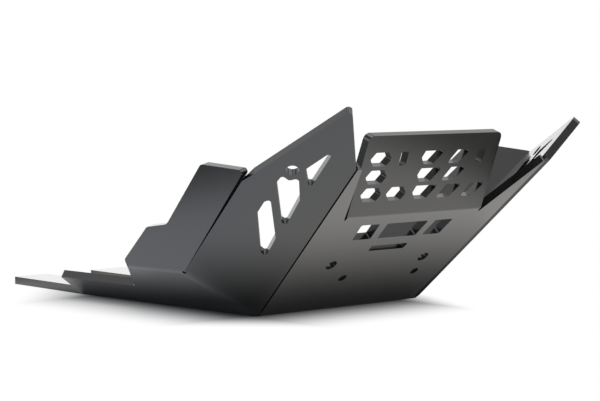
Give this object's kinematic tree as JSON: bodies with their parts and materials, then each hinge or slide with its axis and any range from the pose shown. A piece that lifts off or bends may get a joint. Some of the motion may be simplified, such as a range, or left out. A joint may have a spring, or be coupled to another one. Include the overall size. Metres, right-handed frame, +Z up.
{
  "type": "motorcycle skid plate",
  "caption": "One sheet of black plastic folded into an engine guard: flat belly, sloping front ramp with vents, and raised side wings.",
  "frame": {"origin": "middle of the belly's lower face, halfway between the front fold and the end of the side strips", "axes": "+Z up, -Y towards the front of the bike, +X to the right of the picture's front view"},
  "size_m": [0.4111, 0.5743, 0.2015],
  "materials": {
    "black_plastic": "satin, fine moulded grain"
  },
  "bodies": {
    "root": {"skid_plate": "black_plastic"}
  },
  "joints": []
}
